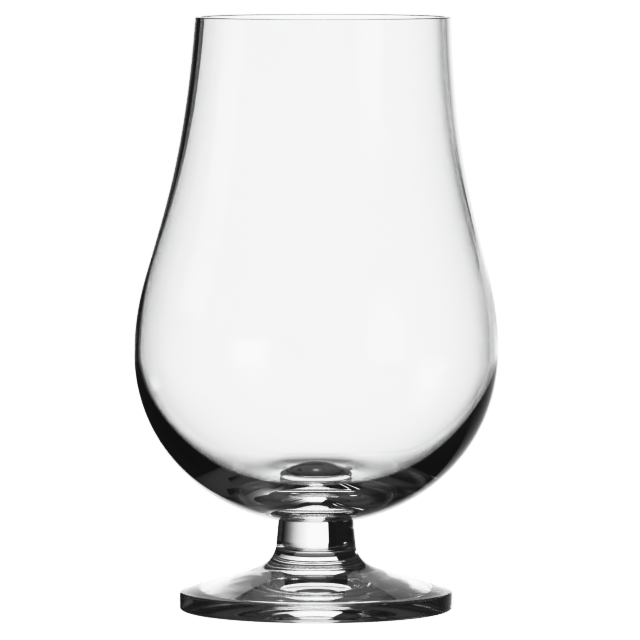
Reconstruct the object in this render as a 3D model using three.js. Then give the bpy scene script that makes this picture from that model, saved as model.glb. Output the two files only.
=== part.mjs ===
// Tulip rum glass: a blown bowl, a short solid stem and a pressed foot, sealed hot at two flat faces.
// Millimetres, +Z up. The origin is the middle of the ring that the foot stands on.

import * as THREE from 'three';

// Foot: heights are above the table, and a lean is the angle of the outline from straight down
const footDiameter = 54;
const footEdgeHeight = 3.9;
const footTopCorner = 0.5;
const footEdgeWidth = 1.9;
const footEdgeRise = 0.8;
const footTopLean = 70;
const footTopRun = 13.9;
const footHeight = 12.7;
const flareLean = 14.8;
const flareRun = 5.4;
const standRingWidth = 3.2;
const hollowDepth = 2.3;
const hollowRun = 11;
const hollowLean = 75;
const hollowEdgeRun = 7;

// Stem: a solid stub between the foot's seal and the bowl's seal
const stemLength = 5.4;
const stemFootDiameter = 15.8;
const stemBowlDiameter = 14.8;

// Bowl outside: heights are above the seal on the stem
const bowlHeight = 99.5;
const rimDiameter = 50.6;
const rimLean = 3;
const neckRun = 42;
const shoulderRun = 18.5;
const bellyHeight = 33.2;
const bellyDiameter = 72;
const bellyRun = 18;
const bowlSealLean = -80.7;
const bowlSealRun = 15.1;

// Bowl inside: the wall is thinnest at the shoulder, and a low rounded pip stands on the floor
const rimWall = 1.15;
const lipRise = 0.25;
const innerShoulderRun = 21.2;
const bellyWall = 0.84;
const innerBellyRun = 14.5;
const floorRun = 12.2;
const floorHeight = 5.8;
const pipRadius = 8.7;
const pipHeight = 2.3;
const pipFootRun = 4;
const pipTopRun = 4;

// Facets
const sides = 72;
const sweepSteps = 9;
const shortSweepSteps = 6;
const roundSteps = 4;
const samePoint = 1e-6;

// Clear glass with a faint grey cast
const clearGlass = { color: 0xeef1f2, roughness: 0.04, metalness: 0 };

const point = (radius, height) => new THREE.Vector2(radius, height);

// A step of a given length in a direction that leans outwards from straight down
function along(lean, length) {
  const angle = THREE.MathUtils.degToRad(lean);
  return point(Math.sin(angle), -Math.cos(angle)).multiplyScalar(length);
}

// A smooth sweep between two points that leaves and arrives with set leans, each held over its run
function sweep(from, fromLean, fromRun, to, toLean, toRun, steps) {
  const leave = from.clone().add(along(fromLean, fromRun));
  const arrive = to.clone().sub(along(toLean, toRun));
  return new THREE.CubicBezierCurve(from, leave, arrive, to).getPoints(steps);
}

// A quarter or half round about a centre, from one angle to another in degrees
function round(centre, width, rise, fromAngle, toAngle, steps) {
  const start = THREE.MathUtils.degToRad(fromAngle);
  const end = THREE.MathUtils.degToRad(toAngle);
  const clockwise = toAngle < fromAngle;
  const arc = new THREE.EllipseCurve(centre.x, centre.y, width, rise, start, end, clockwise);
  return arc.getPoints(steps);
}

// One solid turned about +Z from the stretches of its outline, without repeated points
function turned(name, stretches) {
  const outline = [];
  for (const next of stretches.flat()) {
    const last = outline.at(-1);
    if (!last || last.distanceTo(next) > samePoint) {
      outline.push(next);
    }
  }
  const geometry = new THREE.LatheGeometry(outline, sides).rotateX(Math.PI / 2);
  const mesh = new THREE.Mesh(geometry, new THREE.MeshStandardMaterial(clearGlass));
  mesh.name = name;
  return mesh;
}

// The bowl stands on z = 0 here, its seal, and its outline runs from the axis out, up, over and back in
function makeBowl() {
  const lipRadius = rimWall / 2;
  const lip = point(rimDiameter / 2 - lipRadius, bowlHeight - lipRise);
  const rimOutside = point(rimDiameter / 2, lip.y);
  const rimInside = point(rimDiameter / 2 - rimWall, lip.y);
  const bellyOutside = point(bellyDiameter / 2, bellyHeight);
  const bellyInside = point(bellyDiameter / 2 - bellyWall, bellyHeight);
  const sealEdge = point(stemBowlDiameter / 2, 0);
  const pipEdge = point(pipRadius, floorHeight);
  const pipTop = point(0, floorHeight + pipHeight);
  const neckOutside = sweep(
    rimOutside, rimLean, neckRun, bellyOutside, 0, shoulderRun, sweepSteps);
  const underside = sweep(
    bellyOutside, 0, bellyRun, sealEdge, bowlSealLean, bowlSealRun, sweepSteps);
  const neckInside = sweep(
    rimInside, rimLean, neckRun, bellyInside, 0, innerShoulderRun, sweepSteps);
  const floor = sweep(
    bellyInside, 0, innerBellyRun, pipEdge, -90, floorRun, sweepSteps);
  const pip = sweep(pipEdge, -90, pipFootRun, pipTop, -90, pipTopRun, shortSweepSteps);
  return turned('bowl', [
    [point(0, 0)],
    underside.reverse(),
    neckOutside.reverse(),
    round(lip, lipRadius, lipRise, 0, 180, 2 * roundSteps),
    neckInside,
    floor,
    pip,
  ]);
}

// The stem stands on z = 0 here, its seal on the foot
function makeStem() {
  return turned('stem', [[
    point(0, 0),
    point(stemFootDiameter / 2, 0),
    point(stemBowlDiameter / 2, stemLength),
    point(0, stemLength),
  ]]);
}

// The foot stands on z = 0, and its outline runs from the hollow under it out and over its flared top
function makeFoot() {
  const footRadius = footDiameter / 2;
  const ringOutside = footRadius - footEdgeWidth;
  const ringInside = ringOutside - standRingWidth;
  const edgeCentre = point(ringOutside, footEdgeRise);
  const topCorner = point(footRadius - footTopCorner, footEdgeHeight - footTopCorner);
  const topEdge = point(topCorner.x, footEdgeHeight);
  const sealEdge = point(stemFootDiameter / 2, footHeight);
  const hollow = sweep(
    point(0, hollowDepth), 90, hollowRun, point(ringInside, 0), hollowLean, hollowEdgeRun, sweepSteps);
  const top = sweep(
    sealEdge, flareLean, flareRun, topEdge, footTopLean, footTopRun, 2 * shortSweepSteps);
  return turned('foot', [
    hollow,
    [point(ringOutside, 0)],
    round(edgeCentre, footEdgeWidth, footEdgeRise, -90, 0, roundSteps),
    round(topCorner, footTopCorner, footTopCorner, 0, 90, roundSteps),
    top.reverse(),
    [point(0, footHeight)],
  ]);
}

const foot = makeFoot();
const stem = makeStem();
const bowl = makeBowl();
stem.position.z = footHeight;
bowl.position.z = footHeight + stemLength;

const glass = new THREE.Group();
glass.add(bowl, stem, foot);

export default glass;
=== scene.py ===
"""Tulip rum glass: a blown bowl, a short solid stem and a pressed foot, fused at two flat seals."""

import math

import bmesh
import bpy
from mathutils import Euler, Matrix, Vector
from mathutils.geometry import interpolate_bezier


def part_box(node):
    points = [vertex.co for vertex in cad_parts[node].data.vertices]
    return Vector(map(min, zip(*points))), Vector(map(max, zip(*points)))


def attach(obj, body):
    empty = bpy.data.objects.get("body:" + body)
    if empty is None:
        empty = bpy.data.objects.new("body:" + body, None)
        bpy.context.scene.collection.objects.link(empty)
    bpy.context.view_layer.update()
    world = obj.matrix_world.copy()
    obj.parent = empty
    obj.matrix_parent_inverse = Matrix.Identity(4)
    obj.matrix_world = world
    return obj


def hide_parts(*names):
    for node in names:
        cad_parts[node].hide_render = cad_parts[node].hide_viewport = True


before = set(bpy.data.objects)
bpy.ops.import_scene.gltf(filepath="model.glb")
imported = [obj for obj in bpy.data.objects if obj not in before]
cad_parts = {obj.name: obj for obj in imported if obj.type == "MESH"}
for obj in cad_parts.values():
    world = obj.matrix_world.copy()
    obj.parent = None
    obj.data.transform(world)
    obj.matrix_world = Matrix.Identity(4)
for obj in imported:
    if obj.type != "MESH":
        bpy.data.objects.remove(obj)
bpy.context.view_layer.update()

bl_info = {
    "name": "Tulip rum glass",
    "version": (1, 0, 0),
    "blender": (4, 5, 0),
    "location": "3D View > Sidebar > Tulip glass",
    "description": "Turns a short-stemmed tulip glass in three fused pieces and sets its white stage",
    "category": "Add Mesh",
}

MM = 0.001
IMAGE_PIXELS = 640

# Facets of the turned pieces, and the least angle of an edge that stays sharp
TURN_STEPS = 192
SWEEP_STEPS = 40
ROUND_STEPS = 8
LIP_STEPS = 32
MERGE_DISTANCE = 1e-7
SHARP_ANGLE = math.radians(30)

# Short step down the wall on both sides of the lip, so that its round doesn't shade the wall
LIP_STEP = 0.02 * MM

# What the waves of the glass give: how many times finer than a wave it is, and its detail
RIPPLES = {"Height": (1.0, 1.0), "Haze": (4.0, 3.0), "Cloud": (0.4, 2.0)}

# Turn and rise, in degrees, of each viewer who gets a window to look into, and its width and height
WINDOWS = {
    "side_window": (90, 3, 980 * MM, 2600 * MM),
    "low_window": (45, 25, 480 * MM, 560 * MM),
    "rear_window": (225, 15, 980 * MM, 2600 * MM),
    "under_window": (0, 75, 1300 * MM, 1300 * MM),
}

# Part of a window over which its upper part sets in, and the middle of a window from any edge
WINDOW_BLEND = 0.04
WINDOW_MIDDLE = 0.5

# Between no bounce and one, for asking the light's path whether it has bounced
ANY_BOUNCE = 0.5

# White light, and half the width of the floor
WHITE = (1.0, 1.0, 1.0, 1.0)
FLOOR_REACH = 4.0

# Where the dim glow of the room starts and is full, as the sine of the angle to the right and upwards
GLOW_RIGHT = (0.5, 0.68)
GLOW_ABOVE = (0.08, 0.22)

# Brightness in the picture of the deepest black, and of the shades between it and white, all on the
# curve for red, green and blue together
BLACK = 0.005
CONTRAST = {0.08: 0.034, 0.25: 0.17, 0.5: 0.61, 0.65: 0.8, 0.8: 0.9}
COMBINED_CURVE = 3

# How gently the lean of the bowl starts at the belly
LEAN_CURVE = 1.25

bowl_low, bowl_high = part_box("bowl")
stem_low, stem_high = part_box("stem")
foot_low, foot_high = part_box("foot")


def length(name, description, default):
    return bpy.props.FloatProperty(
        name=name, description=description, default=default, subtype="DISTANCE", precision=4)


def angle(name, description, degrees):
    return bpy.props.FloatProperty(
        name=name, description=description, default=math.radians(degrees), subtype="ANGLE")


def share(name, description, default):
    return bpy.props.FloatProperty(
        name=name, description=description, default=default, min=0.0, subtype="FACTOR")


def colour(name, description, default):
    return bpy.props.FloatVectorProperty(
        name=name, description=description, default=default, size=3, min=0.0, max=1.0,
        subtype="COLOR")


class FootSizes(bpy.types.PropertyGroup):
    diameter: length("Diameter", "Width of the foot", foot_high.x - foot_low.x)
    height: length("Height", "From the table to the seal under the stem", foot_high.z)
    edge_height: length("Edge height", "Height of the foot's rim", 3.9 * MM)
    top_corner: length("Top corner", "Radius where the top meets the rim", 0.5 * MM)
    edge_width: length("Edge width", "Width of the round under the rim", 1.9 * MM)
    edge_rise: length("Edge rise", "Height of the round under the rim", 0.8 * MM)
    top_lean: angle("Top lean", "Slope of the top at the rim, from straight down", 70)
    top_run: length("Top run", "Length over which the top keeps that slope", 13.9 * MM)
    flare_lean: angle("Flare lean", "Slope at the seal, from straight down", 14.8)
    flare_run: length("Flare run", "Length over which the flare keeps that slope", 5.4 * MM)
    ring_width: length("Ring width", "Width of the flat ring that the glass stands on", 3.2 * MM)
    hollow_depth: length("Hollow depth", "Depth of the hollow under the foot", 2.3 * MM)
    hollow_run: length("Hollow run", "Level length at the middle of the hollow", 11 * MM)
    hollow_lean: angle("Hollow lean", "Slope of the hollow at the ring, from straight down", 75)
    hollow_edge_run: length("Hollow edge run", "Length over which it keeps that slope", 7 * MM)


class StemSizes(bpy.types.PropertyGroup):
    length: length("Length", "From the foot's seal to the bowl's", stem_high.z - stem_low.z)
    foot_diameter: length("Foot diameter", "Width at the foot's seal", stem_high.x - stem_low.x)
    bowl_diameter: length("Bowl diameter", "Width at the bowl's seal", 14.8 * MM)


class BowlSizes(bpy.types.PropertyGroup):
    height: length("Height", "From the seal to the top of the lip", bowl_high.z - bowl_low.z)
    rim_diameter: length("Rim diameter", "Width of the mouth, outside", 50.6 * MM)
    rim_lean: angle("Rim lean", "Slope of the wall at the rim, from straight down", 3)
    neck_run: length("Neck run", "Length over which the neck keeps that slope", 42 * MM)
    shoulder_run: length("Shoulder run", "Upright length above the belly", 18.5 * MM)
    belly_height: length("Belly height", "Height of the widest place above the seal", 33.2 * MM)
    belly_diameter: length("Belly diameter", "Widest width, outside", bowl_high.x - bowl_low.x)
    belly_run: length("Belly run", "Upright length below the belly", 18 * MM)
    lean: length("Lean", "How far the blown rim stands to one side of the axis", 1.36 * MM)
    seal_lean: angle("Seal lean", "Slope of the underside at the seal, from straight down", -80.7)
    seal_run: length("Seal run", "Length over which the underside keeps that slope", 15.1 * MM)
    rim_wall: length("Rim wall", "Thickness of the lip", 1.15 * MM)
    lip_rise: length("Lip rise", "Height of the round on top of the lip", 0.25 * MM)
    belly_wall: length("Belly wall", "Thickness of the wall at the belly", 0.84 * MM)
    inner_shoulder_run: length("Inner shoulder run", "Upright length above the belly, inside", 21.2 * MM)
    inner_belly_run: length("Inner belly run", "Upright length below the belly, inside", 14.5 * MM)
    floor_run: length("Floor run", "Level length of the floor at the pip", 12.2 * MM)
    floor_height: length("Floor height", "Height of the floor above the seal", 5.8 * MM)
    pip_radius: length("Pip radius", "Radius of the rounded pip on the floor", 8.7 * MM)
    pip_height: length("Pip height", "Height of the pip above the floor", 2.3 * MM)
    pip_foot_run: length("Pip foot run", "Level length at the foot of the pip", 4 * MM)
    pip_top_run: length("Pip top run", "Level length at the top of the pip", 4 * MM)


class GlassFinish(bpy.types.PropertyGroup):
    clear: colour("Clear", "Colour of the clearest glass", (1.0, 1.0, 1.0))
    cast: colour("Cast", "Faint grey cast that clouds the glass", (0.985, 0.99, 0.99))
    index: bpy.props.FloatProperty(
        name="Index", description="Index of refraction", default=1.52, min=1.0)
    blown_haze: share("Blown haze", "Most roughness of the blown wall", 0.004)
    blown_size: length("Blown ripple size", "Width of the slow waves in the blown wall", 14 * MM)
    blown_depth: length("Blown ripple depth", "Depth of those waves", 0.004 * MM)
    pressed_haze: share("Pressed haze", "Most roughness of the pressed foot", 0.1)
    pressed_size: length("Pressed ripple size", "Width of the waves in the pressed foot", 5 * MM)
    pressed_depth: length("Pressed ripple depth", "Depth of those waves", 0.006 * MM)


class StageSettings(bpy.types.PropertyGroup):
    white: share("White", "Brightness of the panel behind the glass", 0.98)
    ambient: share("Ambient", "Brightness of the dark room", 0.014)
    glow: share("Glow", "Brightness of the room above the glass and on its right", 0.09)
    panel_distance: length("Panel distance", "From the glass to the panel", 1100 * MM)
    panel_left: length("Panel left", "Left edge of the panel", -260 * MM)
    fade_start: length("Fade start", "Where the panel starts to fade to its right", 151 * MM)
    fade_end: length("Fade end", "Where the panel has faded out", 1509 * MM)
    fade_power: bpy.props.FloatProperty(
        name="Fade power", description="How much of the fade comes early", default=2.1, min=0.0)
    panel_low: length("Panel low", "Lower edge of the panel", -2000 * MM)
    low_start: length("Low start", "Height above which the panel gets brighter", -630 * MM)
    low_fade: length("Low fade", "Height over which it gets brighter", 211 * MM)
    low_level: share("Low level", "Brightness of the panel below that", 0.25)
    wing_start: length("Wing start", "Where the fading wing of the panel starts", 317 * MM)
    wing_low: length("Wing low", "Lower edge of the fading wing", -520 * MM)
    wing_high: length("Wing high", "Upper edge of the fading wing", 180 * MM)
    panel_high: length("Panel high", "Upper edge of the panel", 795 * MM)
    window_distance: length("Window distance", "From the glass to each window", 1500 * MM)
    window_edge: share("Window edge", "Part of a window over which each edge fades", 0.3)
    window_upper: share("Window upper", "Where the part starts that shows after a reflection", 0.58)
    camera_distance: length("Camera distance", "From the glass to the camera", 1494 * MM)
    camera_height: length("Camera height", "Height of the camera", 149.04 * MM)
    camera_pitch: angle("Camera pitch", "How far the camera looks down", 3.5)
    focal_length: bpy.props.FloatProperty(
        name="Focal length", description="Lens of the camera", default=426.07, unit="CAMERA")
    axis_pixel: bpy.props.FloatProperty(
        name="Axis pixel", description="Column of the image that the axis stands on", default=316.0)


class TulipGlass(bpy.types.PropertyGroup):
    foot: bpy.props.PointerProperty(type=FootSizes)
    stem: bpy.props.PointerProperty(type=StemSizes)
    bowl: bpy.props.PointerProperty(type=BowlSizes)
    finish: bpy.props.PointerProperty(type=GlassFinish)
    stage: bpy.props.PointerProperty(type=StageSettings)


def at(radius, height):
    """A point of an outline, in the plane of +X and +Z."""
    return Vector((radius, 0.0, height))


def along(lean, run):
    """A step of a given length in a direction that leans outwards from straight down."""
    return Vector((math.sin(lean), 0.0, -math.cos(lean))) * run


def sweep(start, start_lean, start_run, end, end_lean, end_run):
    """A smooth sweep that leaves and arrives with set leans, each held over its run."""
    leave = start + along(start_lean, start_run)
    arrive = end - along(end_lean, end_run)
    return interpolate_bezier(start, leave, arrive, end, SWEEP_STEPS + 1)


def arc(centre, width, rise, first, last, steps):
    """A round stretch about a centre, from one angle to another in degrees."""
    angles = [math.radians(first + (last - first) * k / steps) for k in range(steps + 1)]
    return [centre + at(math.cos(a) * width, math.sin(a) * rise) for a in angles]


def lean_over(mesh, start, end, lean):
    """Shift a piece to +X, from nothing at the start height to the whole lean at the end height."""
    for vert in mesh.vertices:
        rise = max(0.0, (vert.co.z - start) / (end - start))
        vert.co.x += lean * rise**LEAN_CURVE


def turn(name, outline, seals, glass):
    """One closed piece turned about +Z from its outline. Faces at the seal heights are fused."""
    bm = bmesh.new()
    points = [outline[0]]
    for point in outline[1:]:
        if (point - points[-1]).length > MERGE_DISTANCE:
            points.append(point)
    verts = [bm.verts.new(point) for point in points]
    edges = [bm.edges.new(pair) for pair in zip(verts, verts[1:])]
    bmesh.ops.spin(
        bm, geom=verts + edges, cent=(0, 0, 0), axis=(0, 0, 1), dvec=(0, 0, 0),
        angle=2 * math.pi, steps=TURN_STEPS, use_merge=True, use_duplicate=False)
    bmesh.ops.remove_doubles(bm, verts=bm.verts, dist=MERGE_DISTANCE)
    bmesh.ops.recalc_face_normals(bm, faces=bm.faces)
    if not all(edge.is_manifold for edge in bm.edges):
        raise RuntimeError(f"the {name} isn't closed")
    for face in bm.faces:
        face.smooth = True
        for seal in seals:
            if all(abs(vert.co.z - seal) < MERGE_DISTANCE for vert in face.verts):
                face.material_index = 1
    mesh = bpy.data.meshes.new(name)
    bm.to_mesh(mesh)
    bm.free()
    mesh.set_sharp_from_angle(angle=SHARP_ANGLE)
    mesh.materials.append(glass)
    mesh.materials.append(fused_seal())
    piece = bpy.data.objects.new(f"{name}_glass", mesh)
    bpy.context.scene.collection.objects.link(piece)
    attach(piece, "root")
    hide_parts(name)
    return piece


def node(tree, kind, **values):
    """A new node with its plain inputs set by name."""
    made = tree.nodes.new(kind)
    for name, value in values.items():
        made.inputs[name.replace("_", " ")].default_value = value
    return made


def maths(tree, operation, first, second):
    """The result of one sum on two values, each a number or the output of a node."""
    made = tree.nodes.new("ShaderNodeMath")
    made.operation = operation
    for value, socket in zip((first, second), made.inputs):
        if isinstance(value, bpy.types.NodeSocket):
            tree.links.new(value, socket)
        else:
            socket.default_value = value
    return made.outputs["Value"]


def mapped(tree, value, smooth=False, **ranges):
    """The output of a node carried over from one range to another, and kept within it."""
    made = node(tree, "ShaderNodeMapRange", **ranges)
    if smooth:
        made.interpolation_type = "SMOOTHSTEP"
    tree.links.new(value, made.inputs["Value"])
    return made.outputs["Result"]


def axes(tree, kind):
    """The X, Y and Z of one kind of coordinates."""
    place = tree.nodes.new("ShaderNodeTexCoord")
    split = tree.nodes.new("ShaderNodeSeparateXYZ")
    tree.links.new(place.outputs[kind], split.inputs["Vector"])
    return split.outputs


def bare_material(name):
    """A new material without a shader, its nodes and the input for its surface."""
    made = bpy.data.materials.new(name)
    made.use_nodes = True
    tree = made.node_tree
    tree.nodes.remove(tree.nodes["Principled BSDF"])
    return made, tree, tree.nodes["Material Output"].inputs["Surface"]


def glass_ripple():
    """Slow waves, a breath of haze and a faint cloud of colour, shared by all the glass."""
    group = bpy.data.node_groups.get("glass_ripple")
    if group:
        return group
    group = bpy.data.node_groups.new("glass_ripple", "ShaderNodeTree")
    face = group.interface
    face.new_socket("Vector", in_out="INPUT", socket_type="NodeSocketVector")
    face.new_socket("Ripple Size", in_out="INPUT", socket_type="NodeSocketFloat")
    for name in RIPPLES:
        face.new_socket(name, in_out="OUTPUT", socket_type="NodeSocketFloat")
    entry = group.nodes.new("NodeGroupInput")
    leave = group.nodes.new("NodeGroupOutput")
    scaled = group.nodes.new("ShaderNodeVectorMath")
    scaled.operation = "DIVIDE"
    group.links.new(entry.outputs["Vector"], scaled.inputs[0])
    group.links.new(entry.outputs["Ripple Size"], scaled.inputs[1])
    for name, (fineness, detail) in RIPPLES.items():
        noise = node(group, "ShaderNodeTexNoise", Scale=fineness, Detail=detail)
        group.links.new(scaled.outputs[0], noise.inputs["Vector"])
        group.links.new(noise.outputs["Fac"], leave.inputs[name])
    return group


def clear_glass(name, finish, most_haze, ripple_size, ripple_depth):
    """Polished clear glass, with the waves of the way it was made."""
    made = bpy.data.materials.new(name)
    made.use_nodes = True
    tree = made.node_tree
    shader = tree.nodes["Principled BSDF"]
    shader.inputs["Transmission Weight"].default_value = 1.0
    shader.inputs["IOR"].default_value = finish.index
    place = tree.nodes.new("ShaderNodeTexCoord")
    ripple = tree.nodes.new("ShaderNodeGroup")
    ripple.node_tree = glass_ripple()
    ripple.inputs["Ripple Size"].default_value = ripple_size
    tree.links.new(place.outputs["Object"], ripple.inputs["Vector"])
    tint = tree.nodes.new("ShaderNodeMix")
    tint.data_type = "RGBA"
    tint.inputs["A"].default_value = (*finish.clear, 1.0)
    tint.inputs["B"].default_value = (*finish.cast, 1.0)
    tree.links.new(ripple.outputs["Cloud"], tint.inputs["Factor"])
    tree.links.new(tint.outputs["Result"], shader.inputs["Base Color"])
    haze = mapped(tree, ripple.outputs["Haze"], To_Max=most_haze)
    tree.links.new(haze, shader.inputs["Roughness"])
    waves = node(tree, "ShaderNodeBump", Distance=ripple_depth)
    tree.links.new(ripple.outputs["Height"], waves.inputs["Height"])
    tree.links.new(waves.outputs["Normal"], shader.inputs["Normal"])
    return made


def fused_seal():
    """The seal inside the glass, where two pieces melted into one and nothing is left to see."""
    made = bpy.data.materials.get("fused_seal")
    if made:
        return made
    made, tree, surface = bare_material("fused_seal")
    clear = tree.nodes.new("ShaderNodeBsdfTransparent")
    tree.links.new(clear.outputs["BSDF"], surface)
    return made


class TULIPGLASS_OT_foot(bpy.types.Operator):
    """Turn the pressed foot with its flared boss, standing ring and hollow"""

    bl_idname = "tulip_glass.foot"
    bl_label = "Foot"

    def execute(self, context):
        glass = context.scene.tulip_glass
        foot = glass.foot
        radius = foot.diameter / 2
        ring_outside = radius - foot.edge_width
        ring_inside = ring_outside - foot.ring_width
        corner = at(radius - foot.top_corner, foot.edge_height - foot.top_corner)
        seal_edge = at(glass.stem.foot_diameter / 2, foot.height)
        hollow = sweep(
            at(0, foot.hollow_depth), math.radians(90), foot.hollow_run,
            at(ring_inside, 0), foot.hollow_lean, foot.hollow_edge_run)
        top = sweep(
            seal_edge, foot.flare_lean, foot.flare_run,
            at(corner.x, foot.edge_height), foot.top_lean, foot.top_run)
        outline = [
            *hollow,
            at(ring_outside, 0),
            *arc(at(ring_outside, foot.edge_rise), foot.edge_width, foot.edge_rise, -90, 0, ROUND_STEPS),
            *arc(corner, foot.top_corner, foot.top_corner, 0, 90, ROUND_STEPS),
            *reversed(top),
            at(0, foot.height),
        ]
        finish = glass.finish
        pressed = clear_glass(
            "pressed_glass", finish, finish.pressed_haze, finish.pressed_size, finish.pressed_depth)
        turn("foot", outline, [foot.height], pressed)
        return {"FINISHED"}


class TULIPGLASS_OT_stem(bpy.types.Operator):
    """Turn the short solid stem between the two seals"""

    bl_idname = "tulip_glass.stem"
    bl_label = "Stem"

    def execute(self, context):
        glass = context.scene.tulip_glass
        low = glass.foot.height
        high = low + glass.stem.length
        outline = [
            at(0, low),
            at(glass.stem.foot_diameter / 2, low),
            at(glass.stem.bowl_diameter / 2, high),
            at(0, high),
        ]
        finish = glass.finish
        drawn = clear_glass(
            "drawn_glass", finish, finish.blown_haze, finish.blown_size, finish.blown_depth)
        turn("stem", outline, [low, high], drawn)
        return {"FINISHED"}


class TULIPGLASS_OT_bowl(bpy.types.Operator):
    """Turn the blown bowl with its rounded lip, thick floor and pip"""

    bl_idname = "tulip_glass.bowl"
    bl_label = "Bowl"

    def execute(self, context):
        glass = context.scene.tulip_glass
        bowl = glass.bowl
        seal = glass.foot.height + glass.stem.length
        lip_radius = bowl.rim_wall / 2
        lip = at(bowl.rim_diameter / 2 - lip_radius, seal + bowl.height - bowl.lip_rise)
        rim_outside = at(bowl.rim_diameter / 2, lip.z)
        rim_inside = at(bowl.rim_diameter / 2 - bowl.rim_wall, lip.z)
        lip_step = along(bowl.rim_lean, LIP_STEP)
        belly_outside = at(bowl.belly_diameter / 2, seal + bowl.belly_height)
        belly_inside = at(bowl.belly_diameter / 2 - bowl.belly_wall, seal + bowl.belly_height)
        seal_edge = at(glass.stem.bowl_diameter / 2, seal)
        pip_edge = at(bowl.pip_radius, seal + bowl.floor_height)
        pip_top = at(0, seal + bowl.floor_height + bowl.pip_height)
        level = math.radians(-90)
        neck_outside = sweep(
            rim_outside, bowl.rim_lean, bowl.neck_run, belly_outside, 0, bowl.shoulder_run)
        underside = sweep(
            belly_outside, 0, bowl.belly_run, seal_edge, bowl.seal_lean, bowl.seal_run)
        neck_inside = sweep(
            rim_inside, bowl.rim_lean, bowl.neck_run, belly_inside, 0, bowl.inner_shoulder_run)
        floor = sweep(belly_inside, 0, bowl.inner_belly_run, pip_edge, level, bowl.floor_run)
        pip = sweep(pip_edge, level, bowl.pip_foot_run, pip_top, level, bowl.pip_top_run)
        outline = [
            at(0, seal),
            *reversed(underside),
            *reversed(neck_outside[1:]),
            rim_outside + lip_step,
            *arc(lip, lip_radius, bowl.lip_rise, 0, 180, LIP_STEPS),
            rim_inside + lip_step,
            *neck_inside[1:],
            *floor,
            *pip,
        ]
        finish = glass.finish
        blown = clear_glass(
            "blown_glass", finish, finish.blown_haze, finish.blown_size, finish.blown_depth)
        piece = turn("bowl", outline, [seal], blown)
        lean_over(piece.data, belly_outside.z, lip.z, bowl.lean)
        return {"FINISHED"}


def stage_object(name, mesh, made):
    """A stage object that isn't part of the glass."""
    mesh.materials.append(made)
    thing = bpy.data.objects.new(name, mesh)
    bpy.context.scene.collection.objects.link(thing)
    return thing


def flat_sheet(name, half_width, half_height, turned, place):
    """A flat sheet in the plane of +X and +Y, turned and then moved to its place."""
    bm = bmesh.new()
    bm.loops.layers.uv.new("across")
    bmesh.ops.create_grid(bm, x_segments=1, y_segments=1, size=1.0, calc_uvs=True)
    bmesh.ops.scale(bm, vec=(half_width, half_height, 1.0), verts=bm.verts)
    bmesh.ops.rotate(bm, cent=(0, 0, 0), matrix=turned.to_matrix(), verts=bm.verts)
    bmesh.ops.translate(bm, vec=place, verts=bm.verts)
    mesh = bpy.data.meshes.new(name)
    bm.to_mesh(mesh)
    bm.free()
    return mesh


def white_floor():
    """A floor that the camera sees as plain white, and that the light in the glass passes."""
    made, tree, surface = bare_material("white_floor")
    path = tree.nodes.new("ShaderNodeLightPath")
    clear = tree.nodes.new("ShaderNodeBsdfTransparent")
    white = node(tree, "ShaderNodeEmission", Color=WHITE, Strength=1.0)
    choice = tree.nodes.new("ShaderNodeMixShader")
    tree.links.new(path.outputs["Is Camera Ray"], choice.inputs["Fac"])
    tree.links.new(clear.outputs["BSDF"], choice.inputs[1])
    tree.links.new(white.outputs["Emission"], choice.inputs[2])
    tree.links.new(choice.outputs["Shader"], surface)
    return made


def lit_panel(name):
    """A material that glows, its nodes and the input for its strength, still to be linked."""
    made, tree, surface = bare_material(name)
    glow = node(tree, "ShaderNodeEmission", Color=WHITE)
    tree.links.new(glow.outputs["Emission"], surface)
    return made, tree, glow.inputs["Strength"]


def fading_panel(stage):
    """White light that fades out slowly to its right, and is dimmer in its lower part."""
    made, tree, strength = lit_panel("fading_panel")
    place = axes(tree, "Object")
    across = mapped(
        tree, place["X"], From_Min=stage.fade_start, From_Max=stage.fade_end, To_Min=1.0, To_Max=0.0)
    up = mapped(
        tree, place["Z"], From_Min=stage.low_start, From_Max=stage.low_start + stage.low_fade,
        To_Min=stage.low_level, To_Max=stage.white)
    faded = maths(tree, "POWER", across, stage.fade_power)
    tree.links.new(maths(tree, "MULTIPLY", faded, up), strength)
    return made


def soft_window(stage):
    """White light that fades to the edges of its window, and that the outside of the glass doesn't mirror.

    Light that was reflected inside the glass still meets the upper part of the window.
    """
    made, tree, strength = lit_panel("soft_window")
    path = tree.nodes.new("ShaderNodeLightPath").outputs
    place = axes(tree, "UV")
    straight = maths(tree, "LESS_THAN", path["Glossy Depth"], ANY_BOUNCE)
    inside = maths(tree, "GREATER_THAN", path["Transmission Depth"], ANY_BOUNCE)
    upper = mapped(
        tree, place["Y"], From_Min=stage.window_upper, From_Max=stage.window_upper + WINDOW_BLEND)
    level = maths(tree, "MAXIMUM", straight, maths(tree, "MULTIPLY", upper, inside))
    for axis in "XY":
        inwards = maths(tree, "PINGPONG", place[axis], WINDOW_MIDDLE)
        edge = mapped(tree, inwards, smooth=True, From_Max=stage.window_edge)
        level = maths(tree, "MULTIPLY", level, edge)
    tree.links.new(maths(tree, "MULTIPLY", level, stage.white), strength)
    return made


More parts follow.
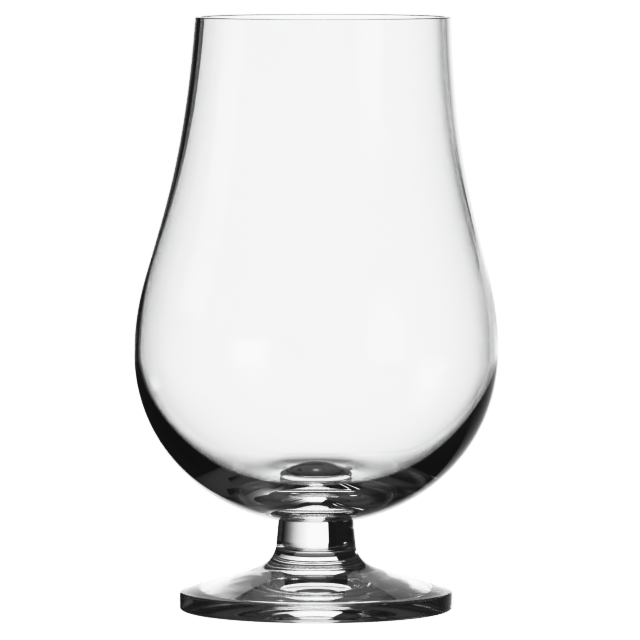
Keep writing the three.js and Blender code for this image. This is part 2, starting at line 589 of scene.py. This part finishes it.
class TULIPGLASS_OT_stage(bpy.types.Operator):
    """Set the white floor, the lit panel, the windows, the dark room and the camera"""

    bl_idname = "tulip_glass.stage"
    bl_label = "Stage"

    def execute(self, context):
        scene = context.scene
        stage = scene.tulip_glass.stage
        sheet = flat_sheet("floor", FLOOR_REACH, FLOOR_REACH, Euler(), Vector())
        stage_object("floor", sheet, white_floor())
        self.back_panel(stage)
        self.windows(stage)
        self.dark_room(scene, stage)
        self.camera(scene, stage)
        self.contrast(scene)
        scene.cycles.max_bounces = 24
        scene.cycles.transmission_bounces = 24
        scene.cycles.glossy_bounces = 12
        scene.cycles.transparent_max_bounces = 32
        return {"FINISHED"}

    def contrast(self, scene):
        """The firm contrast of a studio picture: deeper shades and brighter lights about the middle."""
        settings = scene.view_settings
        settings.view_transform = "Standard"
        settings.use_curve_mapping = True
        curve = settings.curve_mapping.curves[COMBINED_CURVE]
        curve.points[0].location = (0.0, BLACK)
        for shade, shown in CONTRAST.items():
            curve.points.new(shade, shown)
        settings.curve_mapping.update()

    def back_panel(self, stage):
        """The panel behind the glass, and its lower wing that fades out to the right."""
        made = fading_panel(stage)
        upright = Euler((math.radians(90), 0, 0))
        for name, left, right, low, high in (
                ("back_panel", stage.panel_left, stage.wing_start, stage.panel_low, stage.panel_high),
                ("back_wing", stage.wing_start, stage.fade_end, stage.wing_low, stage.wing_high)):
            place = ((left + right) / 2, stage.panel_distance, (low + high) / 2)
            sheet = flat_sheet(name, (right - left) / 2, (high - low) / 2, upright, place)
            panel = stage_object(name, sheet, made)
            panel.visible_camera = False

    def windows(self, stage):
        """White windows across the glass from its other viewers, who see them only through it."""
        made = soft_window(stage)
        middle = Vector((0, 0, (foot_low.z + bowl_high.z) / 2))
        for name, (heading, rise, width, height) in WINDOWS.items():
            faced = Euler((math.radians(90 - rise), 0, math.radians(heading)))
            away = faced.to_matrix() @ Vector((0, 0, -stage.window_distance))
            sheet = flat_sheet(name, width / 2, height / 2, faced, middle + away)
            window = stage_object(name, sheet, made)
            window.visible_camera = False

    def dark_room(self, scene, stage):
        """White to the camera, and dark to the glass but for a dim glow above and to its right."""
        world = bpy.data.worlds.new("dark_room")
        scene.world = world
        world.use_nodes = True
        tree = world.node_tree
        path = tree.nodes.new("ShaderNodeLightPath").outputs
        towards = axes(tree, "Generated")
        right = mapped(tree, towards["X"], From_Min=GLOW_RIGHT[0], From_Max=GLOW_RIGHT[1])
        above = mapped(tree, towards["Z"], From_Min=GLOW_ABOVE[0], From_Max=GLOW_ABOVE[1])
        either = maths(tree, "MAXIMUM", right, above)
        room = mapped(tree, either, To_Min=stage.ambient, To_Max=stage.glow)
        wall = tree.nodes["Background"]
        wall.inputs["Color"].default_value = WHITE
        level = maths(tree, "MAXIMUM", path["Is Camera Ray"], room)
        tree.links.new(level, wall.inputs["Strength"])

    def camera(self, scene, stage):
        """A long lens from a little above, level with the middle of the glass."""
        lens = bpy.data.cameras.new("camera")
        lens.lens = stage.focal_length
        lens.shift_x = (IMAGE_PIXELS / 2 - stage.axis_pixel) / IMAGE_PIXELS
        lens.clip_end = 100
        view = bpy.data.objects.new("camera", lens)
        scene.collection.objects.link(view)
        view.location = (0, -stage.camera_distance, stage.camera_height)
        view.rotation_euler = (math.radians(90) - stage.camera_pitch, 0, 0)
        scene.camera = view


class TULIPGLASS_PT_sidebar(bpy.types.Panel):
    """The glass's pieces and its stage, in the order that they are made"""

    bl_idname = "TULIPGLASS_PT_sidebar"
    bl_label = "Tulip glass"
    bl_space_type = "VIEW_3D"
    bl_region_type = "UI"
    bl_category = "Tulip glass"

    def draw(self, context):
        glass = context.scene.tulip_glass
        for operator, sizes in zip(OPERATORS, (glass.foot, glass.stem, glass.bowl, glass.stage)):
            box = self.layout.box()
            box.operator(operator.bl_idname)
            for name in sizes.__annotations__:
                box.prop(sizes, name)
        box = self.layout.box()
        box.label(text="Finish")
        for name in glass.finish.__annotations__:
            box.prop(glass.finish, name)


OPERATORS = (TULIPGLASS_OT_foot, TULIPGLASS_OT_stem, TULIPGLASS_OT_bowl, TULIPGLASS_OT_stage)
SIZE_GROUPS = (FootSizes, StemSizes, BowlSizes, GlassFinish, StageSettings, TulipGlass)
CLASSES = (*SIZE_GROUPS, *OPERATORS, TULIPGLASS_PT_sidebar)


def register():
    for made in CLASSES:
        bpy.utils.register_class(made)
    bpy.types.Scene.tulip_glass = bpy.props.PointerProperty(type=TulipGlass)


def unregister():
    del bpy.types.Scene.tulip_glass
    for made in reversed(CLASSES):
        bpy.utils.unregister_class(made)


def main():
    register()
    bpy.ops.tulip_glass.foot()
    bpy.ops.tulip_glass.stem()
    bpy.ops.tulip_glass.bowl()
    bpy.ops.tulip_glass.stage()


if __name__ == "__main__":
    main()
